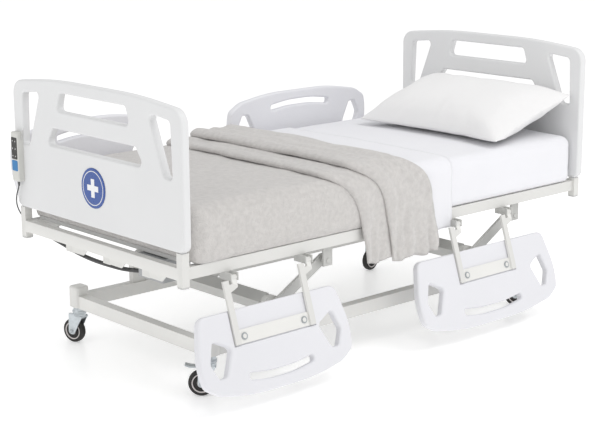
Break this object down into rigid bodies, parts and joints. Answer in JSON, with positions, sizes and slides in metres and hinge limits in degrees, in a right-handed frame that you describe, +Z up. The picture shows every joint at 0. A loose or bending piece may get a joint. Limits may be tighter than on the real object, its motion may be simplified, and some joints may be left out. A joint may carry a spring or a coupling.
{
  "type": "adjustable hospital bed",
  "caption": "Electric hospital bed with raised-and-lowered frame, profiling backrest and knee sections, swing-down side rails, lift-off end boards and castors.",
  "frame": {"origin": "on the floor under the middle of the bed's box, with the near side rails hanging lowered and the far ones raised", "axes": "+X from the foot end to the head end, +Y from the patient's left side to the right side, +Z up"},
  "size_m": [2.1276, 1.1785, 1.08],
  "materials": {
    "powder_coat": "satin powder coat, warm white",
    "board_plastic": "blow-moulded, fine texture",
    "rail_plastic": "blow-moulded, cool white",
    "badge": "blue printed disc with a plain white cross",
    "deck_paint": "moulded deck panels, grey",
    "sheet": "plain woven cotton, white",
    "blanket": "brushed fleece, greige",
    "pillow": "cotton percale, white",
    "zinc": "zinc plated",
    "tyre": "black rubber on a grey hub",
    "actuator_plastic": "textured grey",
    "steel_rod": "polished",
    "pendant": "light grey",
    "keypad": "dark keys",
    "cord": "flexible PVC"
  },
  "bodies": {
    "base": {"base_rail_near": "powder_coat", "base_rail_far": "powder_coat", "base_end_foot": "powder_coat", "base_end_head": "powder_coat", "lift_bearings": "powder_coat"},
    "caster_near_foot": {"caster_fork_near_foot": "zinc"},
    "wheel_near_foot": {"caster_wheel_near_foot": "tyre"},
    "pedal_near_foot": {"brake_pedal_near_foot": "zinc"},
    "caster_far_foot": {"caster_fork_far_foot": "zinc"},
    "wheel_far_foot": {"caster_wheel_far_foot": "tyre"},
    "caster_near_head": {"caster_fork_near_head": "zinc"},
    "wheel_near_head": {"caster_wheel_near_head": "tyre"},
    "pedal_near_head": {"brake_pedal_near_head": "zinc"},
    "caster_far_head": {"caster_fork_far_head": "zinc"},
    "wheel_far_head": {"caster_wheel_far_head": "tyre"},
    "foot_lift": {"lift_arm_foot": "powder_coat"},
    "head_lift": {"lift_arm_head": "powder_coat"},
    "upper_frame": {"frame_rail_near": "powder_coat", "frame_rail_far": "powder_coat", "frame_end_foot": "powder_coat", "frame_end_head": "powder_coat", "frame_cross_tubes": "powder_coat", "lift_hangers": "powder_coat", "rail_brackets": "powder_coat", "control_box": "actuator_plastic", "seat_deck": "deck_paint", "mattress_seat": "sheet", "lift_actuator": "actuator_plastic", "cord_coil": "cord", "cord_lead": "cord"},
    "lift_rod": {"lift_actuator_rod": "steel_rod"},
    "backrest": {"back_deck": "deck_paint", "mattress_back": "sheet", "pillow": "pillow"},
    "back_motor": {"back_actuator": "actuator_plastic"},
    "back_rod": {"back_actuator_rod": "steel_rod"},
    "thigh": {"thigh_deck": "deck_paint", "mattress_thigh": "blanket"},
    "calf": {"calf_deck": "deck_paint", "mattress_calf": "blanket"},
    "knee_motor": {"knee_actuator": "actuator_plastic"},
    "knee_rod": {"knee_actuator_rod": "steel_rod"},
    "rail_near_foot": {"rail_panel_near_foot": "rail_plastic", "rail_arms_near_foot": "powder_coat"},
    "rail_near_head": {"rail_panel_near_head": "rail_plastic", "rail_arms_near_head": "powder_coat"},
    "rail_far_foot": {"rail_panel_far_foot": "rail_plastic", "rail_arms_far_foot": "powder_coat"},
    "rail_far_head": {"rail_panel_far_head": "rail_plastic", "rail_arms_far_head": "powder_coat"},
    "footboard": {"footboard": "board_plastic", "footboard_badge": "badge", "pendant_shell": "pendant"},
    "headboard": {"headboard": "board_plastic"},
    "button_back_up": {"button_back_up": "keypad"},
    "button_back_down": {"button_back_down": "keypad"},
    "button_knee_up": {"button_knee_up": "keypad"},
    "button_knee_down": {"button_knee_down": "keypad"},
    "button_height_up": {"button_height_up": "keypad"},
    "button_height_down": {"button_height_down": "keypad"}
  },
  "joints": [
    {"name": "caster_swivel_near_foot", "type": "hinge", "parent": "base", "child": "caster_near_foot", "pos_m": [-0.85425, -0.35625, 0.15], "axis": [0, 0, 1], "continuous": true},
    {"name": "wheel_spin_near_foot", "type": "hinge", "parent": "caster_near_foot", "child": "wheel_near_foot", "pos_m": [-0.87506, -0.33751, 0.047], "axis": [-0.6691, -0.7431, 0], "continuous": true},
    {"name": "brake_pedal_near_foot_press", "type": "hinge", "parent": "caster_near_foot", "child": "pedal_near_foot", "pos_m": [-0.87654, -0.33618, 0.105], "axis": [-0.6691, -0.7431, 0], "range_deg": [0, 10]},
    {"name": "caster_swivel_far_foot", "type": "hinge", "parent": "base", "child": "caster_far_foot", "pos_m": [-0.85425, 0.44375, 0.15], "axis": [0, 0, 1], "continuous": true},
    {"name": "wheel_spin_far_foot", "type": "hinge", "parent": "caster_far_foot", "child": "wheel_far_foot", "pos_m": [-0.8629, 0.47038, 0.047], "axis": [-0.9511, -0.309, 0], "continuous": true},
    {"name": "caster_swivel_near_head", "type": "hinge", "parent": "base", "child": "caster_near_head", "pos_m": [0.74375, -0.35625, 0.15], "axis": [0, 0, 1], "continuous": true},
    {"name": "wheel_spin_near_head", "type": "hinge", "parent": "caster_near_head", "child": "wheel_near_head", "pos_m": [0.76456, -0.37499, 0.047], "axis": [0.6691, 0.7431, 0], "continuous": true},
    {"name": "brake_pedal_near_head_press", "type": "hinge", "parent": "caster_near_head", "child": "pedal_near_head", "pos_m": [0.76604, -0.37632, 0.105], "axis": [0.6691, 0.7431, 0], "range_deg": [0, 10]},
    {"name": "caster_swivel_far_head", "type": "hinge", "parent": "base", "child": "caster_far_head", "pos_m": [0.74375, 0.44375, 0.15], "axis": [0, 0, 1], "continuous": true},
    {"name": "wheel_spin_far_head", "type": "hinge", "parent": "caster_far_head", "child": "wheel_far_head", "pos_m": [0.71602, 0.43985, 0.047], "axis": [0.1392, -0.9903, 0], "continuous": true},
    {"name": "bed_lift", "type": "hinge", "parent": "base", "child": "foot_lift", "pos_m": [-0.57625, 0.04375, 0.275], "axis": [0, -1, 0], "range_deg": [-10, 45]},
    {"name": "head_arm_follow", "type": "hinge", "parent": "base", "child": "head_lift", "pos_m": [0.46375, 0.04375, 0.275], "axis": [0, -1, 0], "range_deg": [-10, 45]},
    {"name": "upper_frame_level", "type": "hinge", "parent": "foot_lift", "child": "upper_frame", "pos_m": [-0.35108, 0.04375, 0.405], "axis": [0, 1, 0], "range_deg": [-10, 45]},
    {"name": "lift_rod_slide", "type": "slide", "parent": "upper_frame", "child": "lift_rod", "axis": [1, 0, 0], "range_m": [-0.0132, 0.059]},
    {"name": "backrest_raise", "type": "hinge", "parent": "upper_frame", "child": "backrest", "pos_m": [0.21375, 0.04375, 0.513], "axis": [0, -1, 0], "range_deg": [0, 65]},
    {"name": "back_actuator_tilt", "type": "hinge", "parent": "upper_frame", "child": "back_motor", "pos_m": [-0.24625, 0.15375, 0.398], "axis": [0, -1, 0], "range_deg": [0, 8]},
    {"name": "back_rod_slide", "type": "slide", "parent": "back_motor", "child": "back_rod", "axis": [1, 0, 0], "range_m": [0, 0.1015]},
    {"name": "knee_raise", "type": "hinge", "parent": "upper_frame", "child": "thigh", "pos_m": [-0.08625, 0.04375, 0.513], "axis": [0, 1, 0], "range_deg": [0, 35]},
    {"name": "calf_follow", "type": "hinge", "parent": "thigh", "child": "calf", "pos_m": [-0.40625, 0.04375, 0.513], "axis": [0, -1, 0], "range_deg": [0, 53.5]},
    {"name": "knee_actuator_tilt", "type": "hinge", "parent": "upper_frame", "child": "knee_motor", "pos_m": [0.43375, -0.06625, 0.4], "axis": [0, 1, 0], "range_deg": [0, 3]},
    {"name": "knee_rod_slide", "type": "slide", "parent": "knee_motor", "child": "knee_rod", "axis": [-1, 0, 0], "range_m": [0, 0.066]},
    {"name": "side_rail_near_foot", "type": "hinge", "parent": "upper_frame", "child": "rail_near_foot", "pos_m": [-0.70225, -0.46825, 0.445], "axis": [-1, 0, 0], "range_deg": [0, 162]},
    {"name": "side_rail_near_head", "type": "hinge", "parent": "upper_frame", "child": "rail_near_head", "pos_m": [0.39875, -0.46825, 0.445], "axis": [-1, 0, 0], "range_deg": [0, 162]},
    {"name": "side_rail_far_foot", "type": "hinge", "parent": "upper_frame", "child": "rail_far_foot", "pos_m": [-0.70225, 0.55575, 0.445], "axis": [-1, 0, 0], "range_deg": [0, 162]},
    {"name": "side_rail_far_head", "type": "hinge", "parent": "upper_frame", "child": "rail_far_head", "pos_m": [0.39875, 0.55575, 0.445], "axis": [-1, 0, 0], "range_deg": [0, 162]},
    {"name": "footboard_lift_off", "type": "slide", "parent": "upper_frame", "child": "footboard", "axis": [0, 0, 1], "range_m": [0, 0.05]},
    {"name": "headboard_lift_off", "type": "slide", "parent": "upper_frame", "child": "headboard", "axis": [0, 0, 1], "range_m": [0, 0.05]},
    {"name": "button_back_up_press", "type": "slide", "parent": "footboard", "child": "button_back_up", "axis": [1, 0, 0], "range_m": [0, 0.0012], "stiffness_N_per_m": 500},
    {"name": "button_back_down_press", "type": "slide", "parent": "footboard", "child": "button_back_down", "axis": [1, 0, 0], "range_m": [0, 0.0012], "stiffness_N_per_m": 500},
    {"name": "button_knee_up_press", "type": "slide", "parent": "footboard", "child": "button_knee_up", "axis": [1, 0, 0], "range_m": [0, 0.0012], "stiffness_N_per_m": 500},
    {"name": "button_knee_down_press", "type": "slide", "parent": "footboard", "child": "button_knee_down", "axis": [1, 0, 0], "range_m": [0, 0.0012], "stiffness_N_per_m": 500},
    {"name": "button_height_up_press", "type": "slide", "parent": "footboard", "child": "button_height_up", "axis": [1, 0, 0], "range_m": [0, 0.0012], "stiffness_N_per_m": 500},
    {"name": "button_height_down_press", "type": "slide", "parent": "footboard", "child": "button_height_down", "axis": [1, 0, 0], "range_m": [0, 0.0012], "stiffness_N_per_m": 500}
  ],
  "couplings": [
    {"joint": "head_arm_follow", "follows": "bed_lift", "ratio": 1},
    {"joint": "upper_frame_level", "follows": "bed_lift", "ratio": 1},
    {"joint": "lift_rod_slide", "follows": "bed_lift", "m_per_rad": 0.075},
    {"joint": "back_actuator_tilt", "follows": "backrest_raise", "ratio": 0.1228},
    {"joint": "back_rod_slide", "follows": "backrest_raise", "m_per_rad": 0.0892},
    {"joint": "calf_follow", "follows": "knee_raise", "ratio": 1.526},
    {"joint": "knee_actuator_tilt", "follows": "knee_raise", "ratio": 0.0811},
    {"joint": "knee_rod_slide", "follows": "knee_raise", "m_per_rad": 0.1046}
  ]
}
